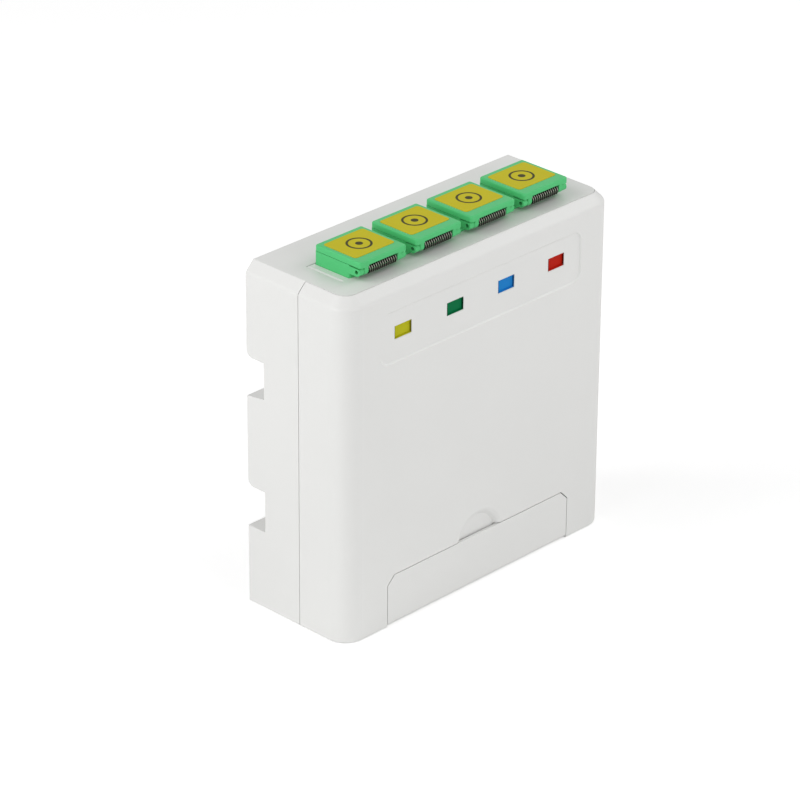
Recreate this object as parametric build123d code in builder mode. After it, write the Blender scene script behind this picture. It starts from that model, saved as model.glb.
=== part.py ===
"""Small fibre distribution box for a 35 mm rail, with four shuttered ports on top.

The origin is the rail seat: mid width, on the plane that the rail's flanges touch, at the rail's centre line.
X runs along the rail, Y points to the wall behind the rail, Z is up.  All sizes are in millimetres.
"""
import os

from build123d import *

# Housing: 73.2 wide, 26.2 deep and 72.0 high
rail_to_top = 37.35
rail_to_base = 34.65
front_depth = 21.6
back_depth = 4.6
parting_depth = 9.2
port_end_room = 7.2
wall = 1.8
top_wall = 2.2
corner_radius = 4.5
edge_chamfer = 2.0
chamfer_softness = 0.9
base_edge_radius = 0.4
seam = 0.08
shadow_gap = 0.15
shadow_gap_depth = 0.35
lip_thickness = 0.8
lip_height = 1.2
ledge_width = 0.8
ledge_height = 1.2

# Rail seat
rail_width = 35.0
rail_play = 0.45
rail_sheet = 1.0
rail_gap = 0.25
upper_slot_height = 7.6
lower_slot_height = 8.6
block_lead_in = 0.6
block_edge_radius = 1.5
hook_height = 1.9
hook_depth = 2.1
hook_width = 10.0
hook_chamfer = 0.5
hook_spacing = 40.0

# Rail latch
latch_width = 22.0
latch_thickness = 2.8
latch_tongue_height = 1.75
latch_tongue_width = 18.0
latch_tongue_chamfer = 1.4
latch_travel = 2.2
latch_fit = 0.2
latch_lip = 1.0
latch_window_drop = 3.0
latch_window_width = 2.6
latch_foot = 2.5
latch_peg_length = 1.4
latch_slot_width = 8.0
latch_slot_height = 1.0
latch_slot_edge = 0.8
latch_spring_radius = 0.9
latch_spring_turns = 7

# Ports
port_count = 4
port_pitch = 14.7
port_depth_behind_front = 12.0
groove_depth = 0.4
groove_margin = 2.05
groove_end_width = 0.6
groove_back_width = 0.25
panel_fit = 0.08

# Adapter
adapter_width = 12.1
adapter_depth = 9.0
adapter_rise = 2.7
adapter_length = 26.7
adapter_edge_radius = 0.4
socket_width = 9.1
socket_depth = 7.45
socket_step = 0.15
key_width = 2.5
key_depth = 0.4
key_length = 7.0
flange_space = 0.4
flange_thickness = 2.0
flange_gap = 0.05

# Shutter
flap_thickness = 1.2
flap_overhang = 2.95
flap_gap = 0.1
flap_corner_radius = 0.5
flap_edge_radius = 0.35
flap_plug_height = 0.5
flap_plug_margin = 0.45
hinge_setback = 1.1
hinge_drop = 0.97
ear_width = 1.2
ear_radius = 0.85
ear_top_gap = 0.3
knuckle_width = 1.0
knuckle_radius = 0.9
knuckle_gap = 0.05
pin_radius = 0.35
pin_fit = 0.05
pin_inset = 0.6
coil_radius = 1.05
coil_wire = 0.45
coil_turns = 11
coil_gap = 0.1
coil_relief_gap = 0.15
coil_bore_gap = 0.07

# Port label
label_width = 10.4
label_depth = 8.6
label_thickness = 0.3
label_proud = 0.05
label_corner_radius = 0.7
label_gap = 0.05
label_front_margin = 2.15

# Ceramic sleeve and its holder
ferrule_radius = 1.25
sleeve_radius = 1.6
sleeve_length = 11.4
sleeve_slit = 0.5
holder_gap = 0.08
holder_wall = 0.62
holder_lip = 0.1
holder_lip_length = 0.5
holder_plate = 2.0
holder_fit = 0.06
arm_width = 2.4
arm_thickness = 0.9
arm_length = 5.4
arm_hook = 0.35

# Adapter retainer
retainer_thickness = 2.0
retainer_edge = 1.6
retainer_depth = 12.0
retainer_corner_radius = 1.5
retainer_fit = 0.15
retainer_boss_radius = 1.9

# Front panel recess and colour windows
recess_margin = 9.15
recess_height = 10.7
recess_drop = 5.5
recess_depth = 0.28
recess_slope = 45
recess_corner_radius = 2.2
window_width = 4.5
window_height = 2.7
window_end_margin = 4.29
window_shift = 0.33
window_drop = 8.85
window_depth = 0.7
marker_margin = 0.9
marker_thickness = 1.0
marker_fit = 0.05
marker_set_back = 0.05
marker_rim = 0.15
marker_cup_depth = 0.3

# Service hatch
hatch_margin = 11.4
hatch_height = 10.8
hatch_thickness = 1.6
hatch_corner_cut = 1.85
hatch_gap = 0.15
hatch_hinge_inset = 1.1
hatch_pin_radius = 0.6
hatch_pin_length = 1.6
hatch_pin_fit = 0.05
hatch_barrel_gap = 0.15
hatch_tab_width = 4.0
hatch_tab_thickness = 1.1
hatch_tab_reach = 2.4
hatch_tab_drop = 0.75
hatch_tab_spacing = 34.0
jamb_width = 3.0
jamb_depth = 3.2
jamb_height = 3.4
scoop_radius = 5.9
scoop_floor_radius = 4.9
scoop_rise = 4.8
scoop_depth = 0.95
scoop_softness = 0.6
scoop_pad_wall = 1.0
scoop_pad_margin = 0.7
catch_width = 9.4
catch_height = 1.0
catch_lip = 0.6
catch_gap = 0.15

# Splice tray
tray_side_gap = 2.3
tray_height = 28.0
tray_low = 18.0
tray_front_room = 7.0
tray_floor = 1.0
tray_rim = 3.4
tray_rim_wall = 1.0
tray_corner_radius = 4.0
hub_length = 40.0
hub_height = 18.0
hub_wall = 1.0
hub_rise = 3.0
tab_size = 3.0
tab_thickness = 0.6
entry_width = 6.0
post_radius = 1.9
post_inset = 3.5
post_low = 15.0

# Splice comb
comb_length = 24.0
comb_height = 13.2
comb_rise = 2.8
comb_base = 0.6
comb_slots = 4
comb_slot = 2.2

# Cable entry and clamp
cable_radius = 1.6
cable_spacing = 24.0
cable_depth = 4.4
grommet_radius = 2.8
grommet_flange = 0.7
grommet_flange_height = 1.2
grommet_fit = 0.05
clamp_rise = 12.15
clamp_width = 34.0
clamp_height = 6.0
clamp_thickness = 3.0
clamp_bite = 0.2
clamp_edge_radius = 0.8
clamp_boss_radius = 2.4
anvil_width = 6.0
anvil_height = 4.0

# Screws
screw_radius = 1.0
screw_pilot_gap = 0.02
screw_hole_gap = 0.15
screw_head_radius = 1.8
screw_head_height = 1.2
screw_recess_radius = 0.75
screw_recess_depth = 0.7
retainer_screw_length = 5.0
tray_screw_length = 6.0
clamp_screw_length = 8.0
cover_screw_length = 11.0
cover_screw_rise = 5.25
cover_boss_radius = 3.0
cover_boss_set_back = 3.6
cover_counterbore = 2.0

# Levels and planes that follow from the sizes above
body_width = port_count * port_pitch + 2 * port_end_room
body_height = rail_to_top + rail_to_base
top_z = rail_to_top
base_z = -rail_to_base
front_y = -front_depth
back_y = back_depth
parting_y = -parting_depth
over = 1.0
slot_edge = rail_width / 2 + rail_play
upper_block_top = slot_edge - upper_slot_height
lower_block_low = lower_slot_height - slot_edge
side_x = body_width / 2
panel_low = top_z - top_wall

adapter_y = front_y + port_depth_behind_front
adapter_high = top_z + adapter_rise
adapter_low = adapter_high - adapter_length
adapter_mid = (adapter_high + adapter_low) / 2
adapter_front = adapter_y - adapter_depth / 2
flange_width = port_pitch - flange_space
flange_high = panel_low - flange_gap
flange_low = flange_high - flange_thickness
flap_low = adapter_high + flap_gap
flap_high = flap_low + flap_thickness
flap_front = adapter_front - flap_overhang
flap_depth = adapter_depth + flap_overhang
label_y = flap_front + label_front_margin + label_depth / 2
hinge_y = flap_front + hinge_setback
hinge_z = flap_low - hinge_drop
knuckle_x = adapter_width / 2 - ear_width - knuckle_gap - knuckle_width / 2
coil_half = knuckle_x - knuckle_width / 2 - coil_gap
row_end = (port_count * port_pitch - flange_space) / 2
retainer_boss_x = (row_end + side_x - wall) / 2
retainer_width = 2 * (retainer_boss_x + retainer_edge)
retainer_high = flange_low - flange_gap
retainer_low = retainer_high - retainer_thickness
recess_y = front_y + recess_depth
marker_front = recess_y + window_depth
hatch_back = front_y + hatch_thickness
hatch_hinge_y = front_y + hatch_hinge_inset
hatch_hinge_z = base_z + hatch_hinge_inset
hatch_top = base_z + hatch_height
hatch_width = body_width - 2 * hatch_margin
recess_width = body_width - 2 * recess_margin
window_pitch = (recess_width - 2 * window_end_margin - window_width) / (port_count - 1)
tray_width = body_width - 2 * (wall + tray_side_gap)
post_spacing_x = tray_width - 2 * post_inset
post_high = upper_block_top - wall - post_radius - seam
clamp_level = rail_to_base - clamp_rise
cover_screw_level = rail_to_base - cover_screw_rise
tray_back = front_depth - tray_front_room
tray_back_y = -tray_back
tray_front_y = tray_back_y - tray_floor
tray_rim_y = tray_front_y - tray_rim
tray_z = tray_height / 2 - tray_low
latch_front = rail_sheet + rail_gap
latch_back = latch_front + latch_thickness
latch_high = -slot_edge - latch_fit
latch_low = base_z + latch_travel + latch_fit
latch_floor = latch_front - latch_fit
latch_window_high = latch_high - latch_window_drop
latch_window_low = latch_low + latch_foot
peg_low = latch_window_low + latch_fit
peg_high = peg_low + latch_peg_length
cable_y = -cable_depth
clamp_y = cable_y - clamp_bite
clamp_front = clamp_y - clamp_thickness
cover_boss_front = front_y + cover_boss_set_back

port_positions = [(i - (port_count - 1) / 2) * port_pitch for i in range(port_count)]
window_positions = [(i - (port_count - 1) / 2) * window_pitch - window_shift for i in range(port_count)]
cable_positions = [-cable_spacing / 2, cable_spacing / 2]
post_positions = [(x * post_spacing_x / 2, z) for x in (-1, 1) for z in (post_high, -post_low)]


os.makedirs("parts", exist_ok=True)


def save(part, name):
    """Give the piece its name and write it."""
    part.label = name
    export_step(part, f"parts/{name}.step")


def plan_face(inset):
    """Plan of the housing, drawn in by an inset: square at the back, round at the front corners."""
    with BuildSketch() as plan:
        with Locations((0, (back_y + front_y) / 2)):
            Rectangle(body_width - 2 * inset, back_y - front_y - 2 * inset)
        fillet(plan.vertices().group_by(Axis.Y)[0], corner_radius - inset)
    return plan.sketch


def channel_face(grow):
    """Side view of the two rail channels, grown by a wall where the inside is wanted."""
    mouth = back_y + over
    drop = block_lead_in * mouth / back_y
    with BuildSketch() as channels:
        with BuildLine():
            Polyline(
                (-grow, slot_edge + grow),
                (mouth, slot_edge + grow),
                (mouth, upper_block_top - drop - grow),
                (-grow, upper_block_top - grow),
                close=True,
            )
        make_face()
        with Locations(((mouth - grow) / 2, (lower_block_low - slot_edge) / 2)):
            Rectangle(mouth + grow, lower_slot_height + 2 * grow)
    return channels.sketch


outer_plan = plan_face(0)
inner_plan = plan_face(wall)
plate_plan = plan_face(edge_chamfer)
plate_opening_plan = plan_face(edge_chamfer - seam)
ledge_outer_plan = plan_face(wall / 2)
ledge_inner_plan = plan_face(wall + ledge_width)
seam_plan = plan_face(shadow_gap_depth)
channels = channel_face(0)
channels_with_wall = channel_face(wall)

# Outline of the joint's shadow gap at its bottom
with BuildSketch() as gap_outline:
    with Locations((0, (top_z + base_z) / 2)):
        Rectangle(body_width - 2 * shadow_gap_depth, body_height - 2 * shadow_gap_depth)
    chamfer(gap_outline.vertices().group_by(Axis.Y)[-1], edge_chamfer)

# The whole housing as one hollow body, before it is parted
with BuildPart() as cavity:
    with BuildSketch(Plane.XY.offset(base_z + wall)):
        add(inner_plan)
    extrude(amount=body_height - wall - top_wall)
    with BuildSketch(Plane.YZ.offset(-side_x)):
        add(channels_with_wall)
    extrude(amount=body_width, mode=Mode.SUBTRACT)

with BuildPart() as housing:
    with BuildSketch(Plane.XY.offset(base_z)):
        add(outer_plan)
    extrude(amount=body_height)
    top_edges = housing.faces().sort_by(Axis.Z)[-1].edges()
    chamfer(top_edges.sort_by(Axis.Y)[:-1], edge_chamfer)
    chamfer_foot = housing.edges().filter_by_position(
        Axis.Z, top_z - edge_chamfer - seam, top_z - edge_chamfer + seam)
    fillet(chamfer_foot.sort_by(Axis.Y)[:-1], chamfer_softness)
    base_edges = housing.faces().sort_by(Axis.Z)[0].edges()
    fillet(base_edges, base_edge_radius)
    with BuildSketch(Plane.YZ.offset(-side_x)):
        add(channels)
    extrude(amount=body_width, mode=Mode.SUBTRACT)
    back_edges = housing.edges().filter_by(Axis.X).filter_by_position(Axis.Y, back_y - seam, back_y + seam)
    for level in (slot_edge, lower_block_low):
        fillet(back_edges.filter_by_position(Axis.Z, level - seam, level + seam), block_edge_radius)
    add(cavity.part, mode=Mode.SUBTRACT)

# The room that the front cover takes: in front of the joint, round the top plate
with BuildPart() as cover_region:
    with BuildSketch(Plane.XY.offset(base_z - over)):
        with Locations((0, (front_y - over + parting_y) / 2)):
            Rectangle(body_width + 2 * over, parting_y - front_y + over)
    extrude(amount=body_height + 2 * over)
    with BuildSketch(Plane.XY.offset(panel_low)):
        add(plate_plan)
    extrude(amount=top_wall + over, mode=Mode.SUBTRACT)

# Rear shell: back, rail seat and the top plate that holds the ports
with BuildPart() as rear_shell:
    add(housing.part)
    add(cover_region.part, mode=Mode.SUBTRACT)
    # groove behind the row of ports and at both ends of it, and a cut-out for each port
    row_half = port_positions[-1] + adapter_width / 2
    groove_front = adapter_front - panel_fit
    groove_length = adapter_depth + 2 * panel_fit + groove_back_width
    with BuildSketch(Plane.XY.offset(top_z)):
        with Locations((0, groove_front + groove_length / 2)):
            Rectangle(2 * (row_half + groove_margin), groove_length)
        with Locations((0, groove_front + (groove_length - groove_back_width) / 2)):
            Rectangle(2 * (row_half + groove_margin - groove_end_width), groove_length - groove_back_width,
                      mode=Mode.SUBTRACT)
    extrude(amount=-groove_depth, mode=Mode.SUBTRACT)
    with BuildSketch(Plane.XY.offset(top_z)):
        with Locations([(x, adapter_y) for x in port_positions]):
            RectangleRounded(adapter_width + 2 * panel_fit, adapter_depth + 2 * panel_fit, adapter_edge_radius)
    extrude(amount=-top_wall, mode=Mode.SUBTRACT)
    # bosses for the adapter retainer
    with BuildSketch(Plane.XY.offset(retainer_high)):
        with Locations([(-retainer_boss_x, adapter_y), (retainer_boss_x, adapter_y)]):
            Circle(retainer_boss_radius)
    extrude(amount=panel_low - retainer_high)
    with BuildSketch(Plane.XY.offset(retainer_high)):
        with Locations([(-retainer_boss_x, adapter_y), (retainer_boss_x, adapter_y)]):
            Circle(screw_radius + screw_pilot_gap)
    extrude(amount=retainer_screw_length - retainer_thickness + flange_gap, mode=Mode.SUBTRACT)
    # locating lip inside the joint: its root on the wall, its tongue inside the cover
    for depth_from, depth_to, gap in ((-lip_height, 0, 0), (0, lip_height, seam)):
        with BuildSketch(Plane.XZ.offset(parting_depth + depth_from)):
            low = base_z + wall + gap
            high = panel_low - ledge_height - 2 * seam
            with Locations((0, (low + high) / 2)):
                Rectangle(body_width - 2 * (wall + gap), high - low)
            inner_low = base_z + wall + seam + lip_thickness
            with Locations((0, (inner_low + high) / 2)):
                Rectangle(body_width - 2 * (wall + seam + lip_thickness), high - inner_low, mode=Mode.SUBTRACT)
            with Locations((0, low)):
                Rectangle(2 * (cover_boss_radius + lip_thickness), 4 * lip_thickness, mode=Mode.SUBTRACT)
        extrude(amount=depth_to - depth_from)
    # fixed hooks behind the rail's upper flange
    with BuildSketch(Plane.XY.offset(slot_edge)) as hooks:
        with Locations([(-hook_spacing / 2, rail_sheet + rail_gap + hook_depth / 2),
                        (hook_spacing / 2, rail_sheet + rail_gap + hook_depth / 2)]):
            Rectangle(hook_width, hook_depth)
    extrude(amount=-hook_height)
    hook_edges = rear_shell.edges().filter_by(Axis.X).filter_by_position(
        Axis.Z, slot_edge - hook_height - seam, slot_edge - hook_height + seam)
    chamfer(hook_edges.group_by(Axis.Y)[0], hook_chamfer)
    # block behind the latch pocket, and the pocket itself, open to the back, the channel and the base
    with BuildSketch(Plane.XY.offset(base_z)):
        with Locations((0, (latch_floor - wall + back_y) / 2)):
            Rectangle(latch_width + 2 * (latch_fit + wall), back_y - latch_floor + wall)
    extrude(amount=-slot_edge - base_z)
    with BuildSketch(Plane.XY.offset(base_z)):
        with Locations((0, (latch_floor + latch_back + latch_fit) / 2)):
            Rectangle(latch_width + 2 * latch_fit, latch_back + latch_fit - latch_floor)
        with Locations((0, (latch_floor + back_y + over) / 2)):
            Rectangle(latch_width + 2 * latch_fit - 2 * latch_lip, back_y + over - latch_floor)
    extrude(amount=-slot_edge - base_z, mode=Mode.SUBTRACT)
    with BuildSketch(Plane.XZ.offset(-latch_floor)):
        with Locations((0, (peg_low + peg_high) / 2)):
            Rectangle(latch_window_width - 2 * latch_fit, peg_high - peg_low)
    extrude(amount=-latch_thickness)
    # posts for the splice tray
    for x, z in post_positions:
        post_root = back_y - wall / 2 if z > 0 else -wall / 2
        with BuildSketch(Plane.XZ.offset(-post_root)):
            with Locations((x, z)):
                Circle(post_radius)
        extrude(amount=post_root - tray_back_y)
        with BuildSketch(Plane.XZ.offset(tray_back)):
            with Locations((x, z)):
                Circle(screw_radius + screw_pilot_gap)
        extrude(amount=-tray_screw_length, mode=Mode.SUBTRACT)
    # boss for the cover screw
    with BuildSketch(Plane.XZ.offset(-latch_floor + wall)):
        with Locations((0, -cover_screw_level)):
            Circle(cover_boss_radius)
        with Locations((0, (base_z - cover_screw_level) / 2)):
            Rectangle(2 * cover_boss_radius, -cover_screw_level - base_z)
    extrude(amount=latch_floor - wall - parting_y)
    with BuildSketch(Plane.XZ.offset(parting_depth)):
        with Locations((0, -cover_screw_level)):
            Circle(screw_radius + screw_pilot_gap)
    extrude(amount=-(cover_screw_length - (parting_y - cover_boss_front - cover_counterbore)), mode=Mode.SUBTRACT)
    # boss and anvils for the cable clamp
    with BuildSketch(Plane.XZ.offset(-latch_floor + wall)):
        with Locations((0, -clamp_level)):
            Circle(clamp_boss_radius)
    extrude(amount=latch_floor - wall - clamp_y)
    with BuildSketch(Plane.XZ.offset(-clamp_y)):
        with Locations((0, -clamp_level)):
            Circle(screw_radius + screw_pilot_gap)
    extrude(amount=-clamp_screw_length + clamp_thickness, mode=Mode.SUBTRACT)
    with BuildSketch(Plane.XZ.offset(-latch_floor + wall / 2)):
        with Locations([(x, -clamp_level) for x in cable_positions]):
            Rectangle(anvil_width, anvil_height)
    extrude(amount=latch_floor - wall / 2 - cable_y - clamp_bite)
    # cable entries in the floor, with the way up between anvil and clamp
    with BuildSketch(Plane.XY.offset(base_z)):
        with Locations([(x, cable_y) for x in cable_positions]):
            Circle(grommet_radius)
    extrude(amount=wall, mode=Mode.SUBTRACT)
    with BuildSketch(Plane.XY.offset(-clamp_level - anvil_height)):
        with Locations([(x, cable_y) for x in cable_positions]):
            Circle(cable_radius)
    extrude(amount=2 * anvil_height, mode=Mode.SUBTRACT)
save(rear_shell.part, "rear_shell")

# Front cover: colour window panel, hatch opening, finger scoop and the boss for its screw
window_z = top_z - window_drop - window_height / 2
recess_z = top_z - recess_drop - recess_height / 2
scoop_top = hatch_top + scoop_rise
scoop_z = scoop_top - scoop_radius
opening_half = hatch_width / 2 + hatch_gap

# dish with a flat floor, a sloping side and a soft rim
with BuildPart() as scoop:
    with BuildSketch(Plane.YZ):
        with BuildLine():
            Polyline(
                (front_y - over, scoop_z),
                (front_y - over, scoop_z + scoop_radius + scoop_softness),
                (front_y, scoop_z + scoop_radius + scoop_softness),
            )
            rim = TangentArc(
                (front_y, scoop_z + scoop_radius + scoop_softness),
                (front_y + scoop_softness / 2, scoop_z + scoop_radius - scoop_softness / 2),
                tangent=(0, -1),
            )
            Polyline(
                rim @ 1,
                (front_y + scoop_depth, scoop_z + scoop_floor_radius),
                (front_y + scoop_depth, scoop_z),
                (front_y - over, scoop_z),
            )
        make_face()
    revolve(axis=Axis((0, 0, scoop_z), (0, 1, 0)))

with BuildPart() as front_cover:
    add(housing.part)
    add(cover_region.part, mode=Mode.INTERSECT)
    # room round the top plate, and the ledge that it rests on
    with BuildSketch(Plane.XY.offset(panel_low - seam)):
        add(plate_opening_plan)
    extrude(amount=top_wall + seam + over, mode=Mode.SUBTRACT)
    with BuildSketch(Plane.XY.offset(panel_low - seam - ledge_height)):
        add(ledge_outer_plan)
        add(ledge_inner_plan, mode=Mode.SUBTRACT)
        with Locations((0, (parting_y + back_y + over) / 2)):
            Rectangle(body_width, back_y + over - parting_y, mode=Mode.SUBTRACT)
    extrude(amount=ledge_height)
    # shadow gap along the joint
    with BuildSketch(Plane.XZ.offset(parting_depth)):
        with Locations((0, (top_z + base_z) / 2)):
            Rectangle(body_width + 2 * over, body_height + 2 * over)
        add(gap_outline.sketch, mode=Mode.SUBTRACT)
    extrude(amount=shadow_gap, mode=Mode.SUBTRACT)
    # shallow panel with four windows, and a seat behind each for its colour marker
    with BuildSketch(Plane.XZ.offset(front_depth)):
        with Locations((0, recess_z)):
            RectangleRounded(recess_width, recess_height, recess_corner_radius)
    extrude(amount=-recess_depth, taper=recess_slope, mode=Mode.SUBTRACT)
    with BuildSketch(Plane.XZ.offset(front_depth)):
        with Locations([(x, window_z) for x in window_positions]):
            Rectangle(window_width, window_height)
    extrude(amount=-wall, mode=Mode.SUBTRACT)
    with BuildSketch(Plane.XZ.offset(-marker_front)):
        with Locations([(x, window_z) for x in window_positions]):
            Rectangle(window_width + 2 * marker_margin, window_height + 2 * marker_margin)
    extrude(amount=marker_front - front_y - wall, mode=Mode.SUBTRACT)
    # hatch opening, with its jambs and pivot holes, and the end of the floor cut back for the hinge barrel
    with BuildSketch(Plane.XZ.offset(-front_y - wall / 2)):
        for side in (-1, 1):
            with Locations((side * (opening_half + jamb_width / 2), base_z + (jamb_height + wall / 2) / 2)):
                Rectangle(jamb_width, jamb_height - wall / 2)
    extrude(amount=wall / 2 - jamb_depth)
    with BuildSketch(Plane.XZ.offset(front_depth)) as opening:
        with Locations((0, (hatch_top + hatch_gap + base_z - over) / 2)):
            Rectangle(2 * opening_half, hatch_height + hatch_gap + over)
        chamfer(opening.vertices().group_by(Axis.Y)[-1], hatch_corner_cut)
    extrude(amount=-wall, mode=Mode.SUBTRACT)
    barrel_room = 2 * hatch_hinge_inset + hatch_barrel_gap
    with BuildSketch(Plane.XY.offset(base_z)):
        with Locations((0, front_y + barrel_room / 2)):
            Rectangle(2 * opening_half, barrel_room)
    extrude(amount=barrel_room, mode=Mode.SUBTRACT)
    with BuildSketch(Plane.YZ.offset(-opening_half - hatch_pin_length)):
        with Locations((hatch_hinge_y, hatch_hinge_z)):
            Circle(hatch_pin_radius + hatch_pin_fit)
    extrude(amount=2 * (opening_half + hatch_pin_length), mode=Mode.SUBTRACT)
    # finger scoop, with the wall thickened behind it and its floor carried down behind the hatch's lip
    with BuildSketch(Plane.XZ.offset(-front_y - wall / 2)):
        with Locations((0, scoop_z)):
            Circle(scoop_radius + scoop_pad_margin)
        with Locations((0, hatch_top + hatch_gap - scoop_radius)):
            Rectangle(4 * scoop_radius, 2 * scoop_radius, mode=Mode.SUBTRACT)
        with Locations((0, hatch_top + (scoop_softness - catch_height) / 2)):
            Rectangle(catch_width, catch_height + scoop_softness)
    extrude(amount=wall / 2 - scoop_depth - scoop_pad_wall)
    add(scoop.part, mode=Mode.SUBTRACT)
    # boss for the cover screw, standing on the floor
    with BuildSketch(Plane.XZ.offset(-cover_boss_front)):
        with Locations((0, -cover_screw_level)):
            Circle(cover_boss_radius)
        with Locations((0, (base_z + wall / 2 - cover_screw_level) / 2)):
            Rectangle(2 * cover_boss_radius, -cover_screw_level - base_z - wall / 2)
    extrude(amount=cover_boss_front - parting_y)
    with BuildSketch(Plane.XZ.offset(-cover_boss_front)):
        with Locations((0, -cover_screw_level)):
            Circle(screw_radius + screw_hole_gap)
    extrude(amount=cover_boss_front - parting_y, mode=Mode.SUBTRACT)
    with BuildSketch(Plane.XZ.offset(-cover_boss_front)):
        with Locations((0, -cover_screw_level)):
            Circle(screw_head_radius + screw_hole_gap)
    extrude(amount=-cover_counterbore, mode=Mode.SUBTRACT)
save(front_cover.part, "front_cover")

# Service hatch: plate with a hinge barrel along its foot, pivot stubs and two holding tabs
with BuildPart() as service_hatch:
    with BuildSketch(Plane.XZ.offset(front_depth)) as plate:
        with Locations((0, (hatch_top + hatch_hinge_z) / 2)):
            Rectangle(hatch_width, hatch_top - hatch_hinge_z)
        chamfer(plate.vertices().group_by(Axis.Y)[-1], hatch_corner_cut)
    extrude(amount=-hatch_thickness)
    with BuildSketch(Plane.YZ.offset(-hatch_width / 2)):
        with Locations((hatch_hinge_y, hatch_hinge_z)):
            Circle(hatch_hinge_inset)
    extrude(amount=hatch_width)
    with BuildSketch(Plane.YZ.offset(-hatch_width / 2 - hatch_pin_length)):
        with Locations((hatch_hinge_y, hatch_hinge_z)):
            Circle(hatch_pin_radius)
    extrude(amount=hatch_width + 2 * hatch_pin_length)
    # room behind the lip for a fingertip and for the floor of the scoop
    with BuildSketch(Plane.XZ.offset(front_depth - catch_lip)):
        with Locations((0, hatch_top)):
            Rectangle(catch_width + 2 * catch_gap, 2 * (catch_height + catch_gap))
    extrude(amount=catch_lip - hatch_thickness, mode=Mode.SUBTRACT)
    with BuildSketch(Plane.XZ.offset(-hatch_back)):
        for x in (-hatch_tab_spacing / 2, hatch_tab_spacing / 2):
            with Locations((x, hatch_top - hatch_tab_drop - hatch_tab_thickness / 2)):
                Rectangle(hatch_tab_width, hatch_tab_thickness)
    extrude(amount=-hatch_tab_reach)
save(service_hatch.part, "service_hatch")


def build_marker(x):
    """Coloured cup that stands in a window, with a seat behind it."""
    with BuildPart() as marker:
        with BuildSketch(Plane.XZ.offset(-marker_front)):
            with Locations((x, window_z)):
                Rectangle(
                    window_width + 2 * (marker_margin - marker_fit),
                    window_height + 2 * (marker_margin - marker_fit),
                )
        extrude(amount=-marker_thickness)
        with BuildSketch(Plane.XZ.offset(-recess_y - marker_set_back)):
            with Locations((x, window_z)):
                Rectangle(window_width - 2 * marker_fit, window_height - 2 * marker_fit)
        extrude(amount=recess_y + marker_set_back - marker_front)
        with BuildSketch(Plane.XZ.offset(-recess_y - marker_set_back)):
            with Locations((x, window_z)):
                Rectangle(
                    window_width - 2 * (marker_fit + marker_rim),
                    window_height - 2 * (marker_fit + marker_rim),
                )
        extrude(amount=-marker_cup_depth, mode=Mode.SUBTRACT)
    return marker.part


def build_adapter_body(x):
    """Single port body: plug sockets above and below, mounting flange, hinge ears with their pin hole."""
    with BuildPart() as body:
        with BuildSketch(Plane.XY.offset(adapter_low)):
            with Locations((x, adapter_y)):
                RectangleRounded(adapter_width, adapter_depth, adapter_edge_radius)
        extrude(amount=adapter_length)
        with BuildSketch(Plane.XY.offset(flange_low)):
            with Locations((x, adapter_y)):
                Rectangle(flange_width, adapter_depth)
        extrude(amount=flange_thickness)
        for ear_left in (x - adapter_width / 2, x + adapter_width / 2 - ear_width):
            with BuildSketch(Plane.YZ.offset(ear_left)):
                with Locations((hinge_y, hinge_z)):
                    Circle(ear_radius)
                with Locations(((hinge_y + adapter_front + adapter_edge_radius) / 2, hinge_z)):
                    Rectangle(adapter_front + adapter_edge_radius - hinge_y, 2 * ear_radius)
                with Locations((hinge_y, flap_low - ear_top_gap + ear_radius)):
                    Rectangle(2 * (adapter_front - hinge_y), 2 * ear_radius, mode=Mode.SUBTRACT)
            extrude(amount=ear_width)
        with BuildSketch(Plane.YZ.offset(x - adapter_width / 2)):
            with Locations((hinge_y, hinge_z)):
                Circle(pin_radius + pin_fit)
        extrude(amount=adapter_width, mode=Mode.SUBTRACT)
        with BuildSketch(Plane.XY.offset(adapter_low)):
            with Locations((x, adapter_y)):
                Rectangle(socket_width - 2 * socket_step, socket_depth - 2 * socket_step)
        extrude(amount=adapter_length, mode=Mode.SUBTRACT)
        with BuildSketch(Plane.XY.offset(adapter_mid - holder_plate / 2)):
            with Locations((x, adapter_y)):
                Rectangle(socket_width, socket_depth)
        extrude(amount=adapter_length, mode=Mode.SUBTRACT)
        for level, depth in ((adapter_high, -key_length), (adapter_low, key_length)):
            with BuildSketch(Plane.XY.offset(level)):
                with Locations((x, adapter_y + socket_depth / 2)):
                    Rectangle(key_width, 2 * key_depth)
            extrude(amount=depth, mode=Mode.SUBTRACT)
    return body.part


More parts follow.
